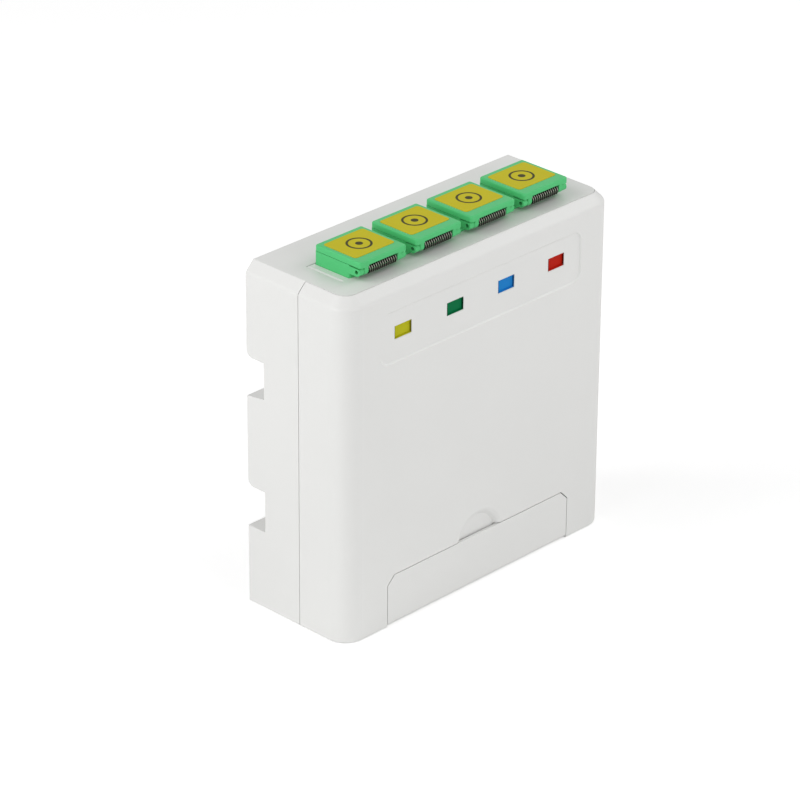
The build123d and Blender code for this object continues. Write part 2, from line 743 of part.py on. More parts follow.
def build_flap(x):
    """Shutter: plate with a recess for the port label, a plug and two knuckles below, room for the coil."""
    with BuildPart() as flap:
        with BuildSketch(Plane.XY.offset(flap_low)):
            with Locations((x, flap_front + flap_depth / 2)):
                RectangleRounded(adapter_width, flap_depth, flap_corner_radius)
        extrude(amount=flap_thickness)
        fillet(flap.faces().sort_by(Axis.Z)[-1].edges(), flap_edge_radius)
        with BuildSketch(Plane.XY.offset(flap_low)):
            with Locations((x, adapter_y)):
                Rectangle(socket_width - 2 * flap_plug_margin, socket_depth - 2 * flap_plug_margin)
        extrude(amount=-flap_plug_height)
        for knuckle_centre in (x - knuckle_x, x + knuckle_x):
            with BuildSketch(Plane.YZ.offset(knuckle_centre - knuckle_width / 2)):
                with Locations((hinge_y, hinge_z)):
                    Circle(knuckle_radius)
                with Locations((hinge_y, hinge_z + hinge_drop / 2)):
                    Rectangle(2 * knuckle_radius, hinge_drop)
            extrude(amount=knuckle_width)
        with BuildSketch(Plane.YZ.offset(x - adapter_width / 2)):
            with Locations((hinge_y, hinge_z)):
                Circle(pin_radius + pin_fit)
        extrude(amount=adapter_width, mode=Mode.SUBTRACT)
        relief_back = hinge_y + coil_radius + coil_relief_gap
        with BuildSketch(Plane.XY.offset(hinge_z)):
            with Locations((x, (flap_front - over + relief_back) / 2)):
                Rectangle(2 * (knuckle_x - knuckle_width / 2), relief_back - flap_front + over)
        extrude(amount=coil_radius + coil_relief_gap, mode=Mode.SUBTRACT)
        with BuildSketch(Plane.XY.offset(flap_high)):
            with Locations((x, label_y)):
                RectangleRounded(label_width + 2 * label_gap, label_depth + 2 * label_gap, label_corner_radius)
        extrude(amount=label_proud - label_thickness, mode=Mode.SUBTRACT)
    return flap.part


def build_label(x):
    """Bare yellow plate in the top of a shutter."""
    with BuildPart() as label:
        with BuildSketch(Plane.XY.offset(flap_high + label_proud - label_thickness)):
            with Locations((x, label_y)):
                RectangleRounded(label_width, label_depth, label_corner_radius - label_gap)
        extrude(amount=label_thickness)
    return label.part


def build_pin(x):
    """Hinge pin of a shutter, a little short of the ears at both ends."""
    with BuildPart() as pin:
        with BuildSketch(Plane.YZ.offset(x - adapter_width / 2 + pin_inset)):
            with Locations((hinge_y, hinge_z)):
                Circle(pin_radius)
        extrude(amount=adapter_width - 2 * pin_inset)
    return pin.part


def ridged_profile(start, length, turns, radius, wire):
    """Half section of a close coil: a ridge for each turn over a plain root."""
    pitch = length / turns
    points = []
    for turn in range(turns):
        points.append((start + turn * pitch, radius - wire))
        points.append((start + (turn + 0.5) * pitch, radius))
    points.append((start + length, radius - wire))
    return points


def build_coil(x):
    """Torsion spring round a hinge pin, with one leg against the adapter."""
    bore = pin_radius + coil_bore_gap
    centre = (x, hinge_y, hinge_z)
    with BuildPart() as coil:
        with BuildSketch(Plane(origin=centre)):
            with BuildLine():
                outline = ridged_profile(-coil_half, 2 * coil_half, coil_turns, coil_radius, coil_wire)
                Polyline((-coil_half, bore), *outline, (coil_half, bore), close=True)
            make_face()
        revolve(axis=Axis(centre, (1, 0, 0)))
        with BuildSketch(Plane.XZ.offset(-hinge_y - bore)):
            with Locations((x, hinge_z + bore - coil_radius + coil_wire)):
                Circle(coil_wire / 2)
        extrude(amount=bore + hinge_y - adapter_front)
    return coil.part


def build_sleeve(x):
    """Split ceramic sleeve that lines up two plugs."""
    with BuildPart() as sleeve:
        with BuildSketch(Plane.XY.offset(adapter_mid - sleeve_length / 2)):
            with Locations((x, adapter_y)):
                Circle(sleeve_radius)
                Circle(ferrule_radius, mode=Mode.SUBTRACT)
            with Locations((x, adapter_y + sleeve_radius)):
                Rectangle(sleeve_slit, 2 * (sleeve_radius - ferrule_radius) + sleeve_slit, mode=Mode.SUBTRACT)
        extrude(amount=sleeve_length)
    return sleeve.part


def build_sleeve_holder(x):
    """Insert of an adapter: plate, tube for the sleeve, and two latch arms for each plug."""
    bore = sleeve_radius + holder_gap
    bore_half = sleeve_length / 2 + holder_gap
    tube_half = bore_half + holder_lip_length
    arm_x = socket_width / 2 - holder_fit - arm_hook - arm_thickness / 2
    with BuildPart() as holder:
        with BuildSketch(Plane.XY.offset(adapter_mid - tube_half)):
            with Locations((x, adapter_y)):
                Circle(bore + holder_wall)
        extrude(amount=2 * tube_half)
        with BuildSketch(Plane.XY.offset(adapter_mid - holder_plate / 2)):
            with Locations((x, adapter_y)):
                Rectangle(socket_width - 2 * holder_fit, socket_depth - 2 * holder_fit)
        extrude(amount=holder_plate)
        for side in (-1, 1):
            with BuildSketch(Plane.XY.offset(adapter_mid - holder_plate / 2 - arm_length)):
                with Locations((x + side * arm_x, adapter_y)):
                    Rectangle(arm_thickness, arm_width)
            extrude(amount=2 * arm_length + holder_plate)
            for tip in (adapter_mid - holder_plate / 2 - arm_length,
                        adapter_mid + holder_plate / 2 + arm_length - arm_thickness):
                with BuildSketch(Plane.XY.offset(tip)):
                    with Locations((x + side * (arm_x - arm_hook), adapter_y)):
                        Rectangle(arm_thickness, arm_width)
                extrude(amount=arm_thickness)
        with BuildSketch(Plane.XY.offset(adapter_mid - tube_half)):
            with Locations((x, adapter_y)):
                Circle(sleeve_radius - holder_lip)
        extrude(amount=2 * tube_half, mode=Mode.SUBTRACT)
        with BuildSketch(Plane.XY.offset(adapter_mid - bore_half)):
            with Locations((x, adapter_y)):
                Circle(bore)
        extrude(amount=2 * bore_half, mode=Mode.SUBTRACT)
    return holder.part


for number, x in enumerate(port_positions, start=1):
    save(build_adapter_body(x), f"adapter_body_{number}")
    save(build_flap(x), f"shutter_flap_{number}")
    save(build_label(x), f"port_label_{number}")
    save(build_pin(x), f"shutter_pin_{number}")
    save(build_coil(x), f"shutter_spring_{number}")
    save(build_sleeve(x), f"ceramic_sleeve_{number}")
    save(build_sleeve_holder(x), f"sleeve_holder_{number}")

for number, x in enumerate(window_positions, start=1):
    save(build_marker(x), f"colour_marker_{number}")

# Retainer: frame under the four flanges, screwed to the top plate
with BuildPart() as adapter_retainer:
    with BuildSketch(Plane.XY.offset(retainer_low)):
        with Locations((0, adapter_y)):
            RectangleRounded(retainer_width, retainer_depth, retainer_corner_radius)
        with Locations([(x, adapter_y) for x in port_positions]):
            Rectangle(adapter_width + 2 * retainer_fit, adapter_depth + 2 * retainer_fit, mode=Mode.SUBTRACT)
        with Locations([(-retainer_boss_x, adapter_y), (retainer_boss_x, adapter_y)]):
            Circle(screw_radius + screw_hole_gap, mode=Mode.SUBTRACT)
    extrude(amount=retainer_thickness)
save(adapter_retainer.part, "adapter_retainer")

# Splice tray: floor with a rim, an oblong winding hub and tabs that keep the turns down
with BuildPart() as splice_tray:
    with BuildSketch(Plane.XZ.offset(tray_back)):
        with Locations((0, tray_z)):
            RectangleRounded(tray_width, tray_height, tray_corner_radius)
    extrude(amount=tray_floor)
    with BuildSketch(Plane.XZ.offset(-tray_front_y)):
        with Locations((0, tray_z)):
            RectangleRounded(tray_width, tray_height, tray_corner_radius)
            RectangleRounded(
                tray_width - 2 * tray_rim_wall,
                tray_height - 2 * tray_rim_wall,
                tray_corner_radius - tray_rim_wall,
                mode=Mode.SUBTRACT,
            )
        with Locations([(x, tray_z) for x in cable_positions]):
            Rectangle(entry_width, tray_height + over, mode=Mode.SUBTRACT)
    extrude(amount=tray_rim)
    with BuildSketch(Plane.XZ.offset(-tray_front_y)):
        with Locations((0, tray_z)):
            SlotOverall(hub_length, hub_height)
            SlotOverall(hub_length - 2 * hub_wall, hub_height - 2 * hub_wall, mode=Mode.SUBTRACT)
            Rectangle(hub_length, entry_width, mode=Mode.SUBTRACT)
    extrude(amount=hub_rise)
    with BuildSketch(Plane.XZ.offset(-tray_rim_y - tab_thickness)):
        edge = tray_height / 2 - tray_rim_wall / 2 - tab_size / 2
        with Locations([(x, tray_z + side * edge) for x in (-tab_size, tab_size) for side in (-1, 1)]):
            Rectangle(tab_size, tab_size + tray_rim_wall)
        end = tray_width / 2 - tray_rim_wall / 2 - tab_size / 2
        with Locations((-end, tray_z), (end, tray_z)):
            Rectangle(tab_size + tray_rim_wall, tab_size)
    extrude(amount=tab_thickness)
    with BuildSketch(Plane.XZ.offset(tray_back)):
        with Locations(post_positions):
            Circle(screw_radius + screw_hole_gap)
    extrude(amount=tray_floor, mode=Mode.SUBTRACT)
save(splice_tray.part, "splice_tray")

# Comb that holds the splice protectors
with BuildPart() as splice_comb:
    comb_pitch = comb_height / comb_slots
    with BuildSketch(Plane.XZ.offset(-tray_front_y)):
        with Locations((0, tray_z)):
            Rectangle(comb_length, comb_height)
    extrude(amount=comb_rise)
    with BuildSketch(Plane.XZ.offset(-tray_front_y + comb_base)):
        with Locations((0, tray_z)):
            with GridLocations(0, comb_pitch, 1, comb_slots):
                Rectangle(comb_length, comb_slot)
    extrude(amount=comb_rise, mode=Mode.SUBTRACT)
save(splice_comb.part, "splice_comb")

# Cable clamp: bar with a half round over each cable
with BuildPart() as cable_clamp:
    with BuildSketch(Plane.XZ.offset(-clamp_y)):
        with Locations((0, -clamp_level)):
            RectangleRounded(clamp_width, clamp_height, clamp_edge_radius)
            Circle(screw_radius + screw_hole_gap, mode=Mode.SUBTRACT)
    extrude(amount=clamp_thickness)
    with BuildSketch(Plane.XY.offset(-clamp_level - clamp_height)):
        with Locations([(x, cable_y) for x in cable_positions]):
            Circle(cable_radius)
    extrude(amount=2 * clamp_height, mode=Mode.SUBTRACT)
save(cable_clamp.part, "cable_clamp")


def build_grommet(x):
    """Rubber bush in a cable entry, flush with the base and flanged inside."""
    with BuildPart() as grommet:
        with BuildSketch(Plane.XY.offset(base_z)):
            with Locations((x, cable_y)):
                Circle(grommet_radius - grommet_fit)
        extrude(amount=wall)
        with BuildSketch(Plane.XY.offset(base_z + wall)):
            with Locations((x, cable_y)):
                Circle(grommet_radius + grommet_flange)
        extrude(amount=grommet_flange_height)
        with BuildSketch(Plane.XY.offset(base_z)):
            with Locations((x, cable_y)):
                Circle(cable_radius)
        extrude(amount=wall + grommet_flange_height, mode=Mode.SUBTRACT)
    return grommet.part


for number, x in enumerate(cable_positions, start=1):
    save(build_grommet(x), f"cable_grommet_{number}")


def build_screw(seat, direction, length):
    """Pan head screw whose head seat is at a point, its head standing out along a direction."""
    plane = Plane(origin=seat, z_dir=direction)
    with BuildPart() as screw:
        with BuildSketch(plane):
            Circle(screw_head_radius)
        extrude(amount=screw_head_height)
        fillet(screw.edges().sort_by(Axis(seat, direction))[-1], screw_head_height / 3)
        with BuildSketch(plane.offset(screw_head_height)):
            RegularPolygon(screw_recess_radius, 6)
        extrude(amount=-screw_recess_depth, mode=Mode.SUBTRACT)
        with BuildSketch(plane):
            Circle(screw_radius)
        extrude(amount=-length)
    return screw.part


def build_screws(seats, direction, length):
    """Several like screws as one piece."""
    with BuildPart() as screws:
        for seat in seats:
            add(build_screw(seat, direction, length))
    return screws.part


to_front = (0, -1, 0)
to_base = (0, 0, -1)
retainer_seats = [(side * retainer_boss_x, adapter_y, retainer_low) for side in (-1, 1)]
tray_seats = [(x, tray_front_y, z) for x, z in post_positions]
save(build_screws(retainer_seats, to_base, retainer_screw_length), "retainer_screws")
save(build_screws(tray_seats, to_front, tray_screw_length), "tray_screws")
save(build_screw((0, clamp_front, -clamp_level), to_front, clamp_screw_length), "clamp_screw")
save(build_screw((0, cover_boss_front + cover_counterbore, -cover_screw_level), to_front, cover_screw_length),
     "cover_screw")

# Rail latch: slider with a tongue that goes behind the rail's lower flange
with BuildPart() as rail_latch:
    with BuildSketch(Plane.XZ.offset(-latch_back)):
        with Locations((0, (latch_low + latch_high) / 2)):
            Rectangle(latch_width, latch_high - latch_low)
        with Locations((0, latch_high + latch_tongue_height / 2)):
            Rectangle(latch_tongue_width, latch_tongue_height)
        with Locations((0, (latch_window_low + latch_window_high) / 2)):
            Rectangle(latch_window_width, latch_window_high - latch_window_low, mode=Mode.SUBTRACT)
        with Locations((0, latch_low + latch_slot_edge + latch_slot_height / 2)):
            Rectangle(latch_slot_width, latch_slot_height, mode=Mode.SUBTRACT)
    extrude(amount=latch_thickness)
    tongue_edges = rail_latch.faces().sort_by(Axis.Z)[-1].edges().filter_by(Axis.X)
    chamfer(tongue_edges.sort_by(Axis.Y)[-1], latch_tongue_chamfer)
save(rail_latch.part, "rail_latch")

# Spring between the shell's peg and the top of the slider's window
with BuildPart() as latch_spring:
    spring_y = (latch_front + latch_back) / 2
    with BuildSketch(Plane.XZ.offset(-spring_y)):
        with BuildLine():
            coil = ridged_profile(peg_high, latch_window_high - peg_high, latch_spring_turns,
                                  latch_spring_radius, coil_wire)
            Polyline((0, peg_high), *[(radius, level) for level, radius in coil], (0, latch_window_high), close=True)
        make_face()
    revolve(axis=Axis((0, spring_y, 0), (0, 0, 1)))
save(latch_spring.part, "latch_spring")
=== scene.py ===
"""Looks of a small fibre distribution box: materials, wound springs, slopes in the grooves of its top plate,
studio and camera.

Everything is in metres in the box's own frame: X along the row of ports, Y to the wall behind the box, and
Z up, with the origin at the seat in its back.
"""

import bpy
import numpy as np
from mathutils import Matrix, Vector


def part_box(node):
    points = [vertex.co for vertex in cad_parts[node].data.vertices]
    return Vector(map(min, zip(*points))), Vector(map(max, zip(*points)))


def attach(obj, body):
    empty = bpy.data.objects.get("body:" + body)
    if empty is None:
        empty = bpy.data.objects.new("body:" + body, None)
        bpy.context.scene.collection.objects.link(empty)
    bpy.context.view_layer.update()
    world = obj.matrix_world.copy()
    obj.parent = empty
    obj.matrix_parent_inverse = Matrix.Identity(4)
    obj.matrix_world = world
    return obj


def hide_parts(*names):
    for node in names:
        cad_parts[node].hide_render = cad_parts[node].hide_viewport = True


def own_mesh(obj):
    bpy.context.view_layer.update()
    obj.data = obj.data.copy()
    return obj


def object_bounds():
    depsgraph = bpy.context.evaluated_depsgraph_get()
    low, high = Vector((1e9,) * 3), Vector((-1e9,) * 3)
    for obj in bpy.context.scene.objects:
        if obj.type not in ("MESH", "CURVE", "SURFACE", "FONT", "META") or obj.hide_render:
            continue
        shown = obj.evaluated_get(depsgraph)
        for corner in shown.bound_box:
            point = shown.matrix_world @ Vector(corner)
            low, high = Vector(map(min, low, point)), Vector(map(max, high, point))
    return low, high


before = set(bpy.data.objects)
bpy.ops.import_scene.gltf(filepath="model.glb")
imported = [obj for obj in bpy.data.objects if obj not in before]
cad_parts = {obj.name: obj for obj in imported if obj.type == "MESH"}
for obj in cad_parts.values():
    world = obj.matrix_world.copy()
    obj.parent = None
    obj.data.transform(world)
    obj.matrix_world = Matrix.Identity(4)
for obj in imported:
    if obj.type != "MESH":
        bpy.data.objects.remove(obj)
solid_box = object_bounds()

MM = 0.001
PORTS = (1, 2, 3, 4)
MARKER_CUP_DEPTH = 0.3 * MM
MARKER_CUP_INSET = 1.05 * MM
GROOVE_OUTER = 30.15 * MM
GROOVE_INNER = 29.55 * MM
GROOVE_FLOOR = 36.95 * MM
GROOVE_FRONT = -14.18 * MM
GROOVE_BACK = -4.77 * MM
WIRE_SIDES = 12
DULL_SPECULAR = 0.06
LAMP_SIZE = 0.42
LAMP_DISTANCE = 0.72


def linear(red, green, blue):
    """A colour as a shader takes it, from the 0 to 255 values of a screen."""
    values = np.array((red, green, blue)) / 255
    return (*np.where(values > 0.04045, ((values + 0.055) / 1.055) ** 2.4, values / 12.92), 1.0)


# Shader maths

class Level:
    """A number that a shader works out over a surface, with ordinary arithmetic."""

    def __init__(self, nodes, socket):
        self.nodes = nodes
        self.socket = socket

    def maths(self, operation, *others, swapped=False):
        """Math node on this level and others, in that order or swapped."""
        values = [self, *others]
        if swapped:
            values.reverse()
        return self.nodes.node("ShaderNodeMath", dict(enumerate(values)), operation=operation)

    def __add__(self, other):
        return self.maths("ADD", other)

    def __mul__(self, other):
        return self.maths("MULTIPLY", other)

    def __sub__(self, other):
        return self.maths("SUBTRACT", other)

    def __rsub__(self, other):
        return self.maths("SUBTRACT", other, swapped=True)

    __radd__ = __add__
    __rmul__ = __mul__

    def __abs__(self):
        return self.maths("ABSOLUTE")

    def most(self, other):
        """The larger of two levels."""
        return self.maths("MAXIMUM", other)

    def wrapped(self, low, high):
        """The level carried round between two bounds."""
        return self.maths("WRAP", high, low)

    def step(self, start, end):
        """0 up to a start and 1 from an end, with a smooth step between."""
        return self.nodes.node("ShaderNodeMapRange", {"Value": self, "From Min": start, "From Max": end},
                               interpolation_type="SMOOTHSTEP")

    def above(self, limit, soft):
        """0 below a limit and 1 above it, with a soft step between."""
        return self.step(limit - soft, limit + soft)

    def band(self, centre, half, soft):
        """1 within a distance of a centre, falling to 0 over a soft edge."""
        return abs(self - centre).step(half + soft, half - soft)


def reach(first, second):
    """Distance from an axis, from the two coordinates square to it."""
    return (first * first + second * second).maths("POWER", 0.5)


class Nodes:
    """The shader of a material or of the world, and the nodes that feed it."""

    def __init__(self, owner, shader):
        owner.use_nodes = True
        self.owner = owner
        self.tree = owner.node_tree
        self.shader = self.tree.nodes[shader]

    def feed(self, socket, value):
        """Set a socket to a number or colour, or link it to a level."""
        if isinstance(value, Level):
            self.tree.links.new(value.socket, socket)
        else:
            socket.default_value = value

    def node(self, kind, sockets=None, out=0, **settings):
        """Add a node with its settings, then the values or links of its sockets. Gives one output."""
        added = self.tree.nodes.new(kind)
        for setting, value in settings.items():
            setattr(added, setting, value)
        for socket, value in (sockets or {}).items():
            self.feed(added.inputs[socket], value)
        return Level(self, added.outputs[out])

    def surface(self, **levels):
        """Set sockets of the shader, named with _ for a space. Gives the material or world."""
        for socket, value in levels.items():
            self.feed(self.shader.inputs[socket.replace("_", " ")], value)
        return self.owner


class Finish(Nodes):
    """A material that is worked out from the place of each point on the box."""

    def __init__(self, name, **constants):
        super().__init__(bpy.data.materials.new(name), "Principled BSDF")
        self.surface(**constants)
        self.place = self.node("ShaderNodeTexCoord", out="Object")

    def axis(self, name):
        """The X, Y or Z coordinate of a point."""
        return self.node("ShaderNodeSeparateXYZ", {0: self.place}, out=name)

    def stretched(self, scale):
        """The place of a point, scaled along X, Y and Z."""
        return self.node("ShaderNodeMapping", {"Vector": self.place, "Scale": scale})

    def noise(self, size, detail=2.0, roughness=0.5, place=None):
        """Soft random level between 0 and 1 with lumps of a size in metres."""
        return self.node("ShaderNodeTexNoise", {
            "Vector": place or self.place, "Scale": 1 / size, "Detail": detail, "Roughness": roughness})

    def mix(self, share, first, second):
        """Colour between two others."""
        return self.node("ShaderNodeMix", {0: share, 6: first, 7: second}, out=2,
                         data_type="RGBA", clamp_factor=True)

    def bump(self, height, depth, below=None):
        """Relief of a depth in metres from a height between 0 and 1, over another relief."""
        sockets = {"Height": height, "Distance": depth}
        if below:
            sockets["Normal"] = below
        return self.node("ShaderNodeBump", sockets)


# Materials

def moulded(name, colour, dark, roughness, grain, depth, **constants):
    """Moulded plastic: faint flow clouds in the colour, and the fine grain that the tool leaves."""
    finish = Finish(name, **constants)
    cloud = finish.noise(14 * MM, detail=3.0)
    fine = finish.noise(grain, detail=3.0, roughness=0.6)
    return finish.surface(
        Base_Color=finish.mix(0.5 * cloud + 0.5 * fine, linear(*dark), linear(*colour)),
        Roughness=roughness + 0.12 * (fine - 0.5) + 0.06 * (cloud - 0.5),
        Normal=finish.bump(fine, depth, finish.bump(cloud, 20 * depth)),
    )


def marker(number, name, colour, dark, painted_wall_shade):
    """Coloured marker: even in colour, with painted shade on the two upright walls of its cup and on the rim
    in front of them, where shade falls inside the window."""
    low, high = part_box(f"colour_marker_{number}")
    finish = Finish(name, Specular_IOR_Level=DULL_SPECULAR)
    fine = finish.noise(0.3 * MM, detail=2.0)
    margin, soft = 0.03 * MM, 0.015 * MM
    before_floor = 1 - finish.axis("Y").above(low.y + MARKER_CUP_DEPTH - margin, soft)
    cup_half_width = (high.x - low.x) / 2 - MARKER_CUP_INSET
    beside = abs(finish.axis("X") - (low.x + high.x) / 2).above(cup_half_width - margin, soft)
    even = finish.mix(fine, linear(*dark), linear(*colour))
    return finish.surface(
        # painted shade: the cup's side walls and their front rim take a darker colour, standing in for the
        # shade in the window
        Base_Color=finish.mix(before_floor * beside, even, linear(*painted_wall_shade)),
        Roughness=0.42 + 0.1 * (fine - 0.5),
        Normal=finish.bump(fine, depth=0.003 * MM),
    )


def steel(name, colour, dark, roughness, grain, depth, stretch=(1, 1, 1)):
    """Drawn or turned steel: fine streaks along one way."""
    finish = Finish(name, Metallic=1.0)
    streak = finish.noise(grain, detail=3.0, place=finish.stretched(stretch))
    stain = finish.noise(3 * MM, detail=2.0)
    return finish.surface(
        Base_Color=finish.mix(0.6 * streak + 0.4 * stain, linear(*dark), linear(*colour)),
        Roughness=roughness + 0.18 * (streak - 0.5),
        Normal=finish.bump(streak, depth),
    )


def wound_wire():
    """Steel of the hinge coils, with painted shade: near black inside the winding, where shade falls between
    the turns, and bare steel only on each turn's outer crown."""
    low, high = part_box("shutter_spring_1")
    outer = (high.z - low.z) / 2
    finish = Finish("wound_wire", Metallic=1.0)
    depth = finish.axis("Y") - (low.y + outer)
    height = finish.axis("Z") - (low.z + outer)
    unshaded_depth, soft = 0.04 * MM, 0.03 * MM
    crown = reach(depth, height).above(outer - unshaded_depth, soft)
    streak = finish.noise(0.2 * MM, detail=3.0)
    bright = finish.mix(streak, linear(98, 101, 91), linear(156, 159, 146))
    return finish.surface(
        # painted shade: near black everywhere but the outer crown of each turn
        Base_Color=finish.mix(crown, linear(12, 13, 11), bright),
        Roughness=0.3 + 0.18 * (streak - 0.5),
        Normal=finish.bump(streak, depth=0.002 * MM),
    )


def marked_plate():
    """Yellow plate with a plain ring and dot in dark ink, the same on each port."""
    low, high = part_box("port_label_1")
    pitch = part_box("port_label_2")[0].x - low.x
    finish = Finish("yellow_plate", Specular_IOR_Level=DULL_SPECULAR)
    across = (finish.axis("X") - (low.x + high.x) / 2).wrapped(-pitch / 2, pitch / 2)
    along = finish.axis("Y") - (low.y + high.y) / 2
    from_middle = reach(across, along)
    ring_radius, ring_half_width, dot_radius, soft = 2.3 * MM, 0.24 * MM, 0.75 * MM, 0.03 * MM
    ring = from_middle.band(ring_radius, ring_half_width, soft)
    ink = ring.most(from_middle.band(0, dot_radius, soft))
    fine = finish.noise(0.25 * MM, detail=3.0)
    cloud = finish.noise(5 * MM, detail=2.0)
    ground = finish.mix(0.6 * cloud + 0.4 * fine, linear(197, 185, 22), linear(207, 196, 30))
    return finish.surface(
        Base_Color=finish.mix(ink * (0.86 + 0.14 * fine), ground, linear(30, 30, 24)),
        Roughness=0.4 + 0.14 * (fine - 0.5),
        Normal=finish.bump(fine, depth=0.005 * MM),
    )


WHITE = dict(colour=(233, 233, 231), dark=(227, 227, 225),
             roughness=0.42, grain=0.22 * MM, depth=0.006 * MM)
SHELL = moulded("shell_white", **WHITE, Specular_IOR_Level=0.45)
INNER = moulded("inner_white", **WHITE | dict(colour=(226, 226, 221), dark=(219, 219, 213)))
GREEN = moulded("port_green", (88, 202, 126), (80, 193, 119),
                roughness=0.38, grain=0.3 * MM, depth=0.004 * MM, Specular_IOR_Level=0.2)
HOLDER = moulded("holder_ivory", (226, 218, 194), (214, 205, 178),
                 roughness=0.4, grain=0.3 * MM, depth=0.004 * MM)
CERAMIC = moulded("sleeve_ceramic", (240, 238, 230), (232, 229, 219),
                  roughness=0.16, grain=0.2 * MM, depth=0.001 * MM)
LATCH = moulded("latch_grey", (150, 152, 152), (140, 142, 142),
                roughness=0.42, grain=0.22 * MM, depth=0.006 * MM)
RUBBER = moulded("bush_rubber", (34, 34, 35), (24, 24, 25),
                 roughness=0.68, grain=0.16 * MM, depth=0.012 * MM)
# the last colour of each marker is the painted shade on its cup's side walls
YELLOW = marker(1, "marker_yellow", (190, 188, 34), (182, 180, 28), painted_wall_shade=(116, 112, 20))
DEEP_GREEN = marker(2, "marker_green", (6, 116, 69), (4, 108, 63), painted_wall_shade=(4, 58, 34))
BLUE = marker(3, "marker_blue", (34, 132, 206), (28, 124, 198), painted_wall_shade=(36, 92, 136))
RED = marker(4, "marker_red", (188, 33, 16), (180, 27, 12), painted_wall_shade=(96, 14, 8))
PIN = steel("pin_steel", (58, 58, 60), (36, 36, 38),
            roughness=0.4, grain=0.2 * MM, depth=0.002 * MM, stretch=(0.05, 1, 1))
SPRING = steel("spring_wire", (176, 172, 162), (128, 124, 116),
               roughness=0.27, grain=0.2 * MM, depth=0.002 * MM)
SCREW = steel("screw_steel", (196, 198, 200), (160, 162, 166),
              roughness=0.3, grain=0.15 * MM, depth=0.003 * MM)
COIL = wound_wire()
PLATE = marked_plate()

FINISH_OF = {
    "rear_shell": SHELL, "front_cover": SHELL, "service_hatch": SHELL,
    "splice_tray": INNER, "splice_comb": INNER, "adapter_retainer": INNER, "cable_clamp": INNER,
    "rail_latch": LATCH, "latch_spring": SPRING, "cable_grommet_1": RUBBER, "cable_grommet_2": RUBBER,
    "retainer_screws": SCREW, "tray_screws": SCREW, "clamp_screw": SCREW, "cover_screw": SCREW,
    "colour_marker_1": YELLOW, "colour_marker_2": DEEP_GREEN,
    "colour_marker_3": BLUE, "colour_marker_4": RED,
}
for port in PORTS:
    FINISH_OF |= {
        f"adapter_body_{port}": GREEN, f"shutter_flap_{port}": GREEN, f"port_label_{port}": PLATE,
        f"shutter_pin_{port}": PIN, f"shutter_spring_{port}": COIL,
        f"sleeve_holder_{port}": HOLDER, f"ceramic_sleeve_{port}": CERAMIC,
    }
for name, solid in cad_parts.items():
    for slot in solid.material_slots:
        slot.link = "OBJECT"
        slot.material = FINISH_OF[name]


def add_piece(name, points, faces, material):
    """Add an object of points and faces, at the origin and in one material."""
    mesh = bpy.data.meshes.new(name)
    mesh.from_pydata(np.asarray(points).tolist(), [], faces)
    mesh.materials.append(material)
    piece = bpy.data.objects.new(name, mesh)
    bpy.context.collection.objects.link(piece)
    return piece


def skin(name, rings, material, smooth=False):
    """Closed surface over a row of rings of points: faces of four points from each ring to the next, smooth
    or flat, and one flat face at each end."""
    index = np.arange(rings.shape[0] * rings.shape[1]).reshape(rings.shape[:2])
    after = np.roll(index, -1, axis=1)
    quads = np.stack([index[:-1], after[:-1], after[1:], index[1:]], axis=-1).reshape(-1, 4)
    ends = [index[0, ::-1].tolist(), index[-1].tolist()]
    piece = add_piece(name, rings.reshape(-1, 3), quads.tolist() + ends, material)
    piece.data.polygons.foreach_set("use_smooth", [smooth] * len(quads) + [False] * len(ends))
    piece.data.update()
    return piece


# Wound springs

def wire(name, path, outward, radius, material):
    """Round wire: ring(s, t) = path(s) + radius (cos t N + sin t B), with T the path's direction, N the
    outward direction made square to T, and B = T x N."""
    ahead = np.gradient(path, axis=0)
    ahead /= np.linalg.norm(ahead, axis=1, keepdims=True)
    square = outward - (outward * ahead).sum(1, keepdims=True) * ahead
    square /= np.linalg.norm(square, axis=1, keepdims=True)
    beside = np.cross(ahead, square)
    turn = np.linspace(0, 2 * np.pi, WIRE_SIDES, endpoint=False)[:, None]
    rings = path[:, None] + radius * (np.cos(turn) * square[:, None] + np.sin(turn) * beside[:, None])
    return skin(name, rings, material, smooth=True)


def hinge_coil(port):
    """Torsion spring: a leg comes in over the coil, 12 and a half turns go along the pin, and a leg leaves
    below it. A turn at angle a is at (x, -sin a, cos a) times its radius from the pin's axis."""
    low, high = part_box(f"shutter_spring_{port}")
    wire_radius = 0.155 * MM
    turns, stations, leg_stations = 12.5, 410, 5
    outer = (high.z - low.z) / 2
    mean = outer - wire_radius
    axis_y, axis_z = low.y + outer, (low.z + high.z) / 2
    angle = np.linspace(0, turns * 2 * np.pi, stations)
    along = np.linspace(low.x + wire_radius, high.x - wire_radius, stations)
    coil = np.stack([along, axis_y - mean * np.sin(angle), axis_z + mean * np.cos(angle)], axis=1)
    leg = np.linspace(high.y, axis_y, leg_stations, endpoint=False)[:, None] * (0, 1, 0)
    over = leg + (along[0], 0, axis_z + mean)
    under = leg[::-1] + (along[-1], 0, axis_z - mean)
    path = np.concatenate([over, coil, under])
    outward = (path - (0, axis_y, axis_z)) * (0, 1, 1)
    piece = wire(f"shutter_coil_{port}", path, outward, wire_radius, COIL)
    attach(piece, "housing")
    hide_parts(f"shutter_spring_{port}")


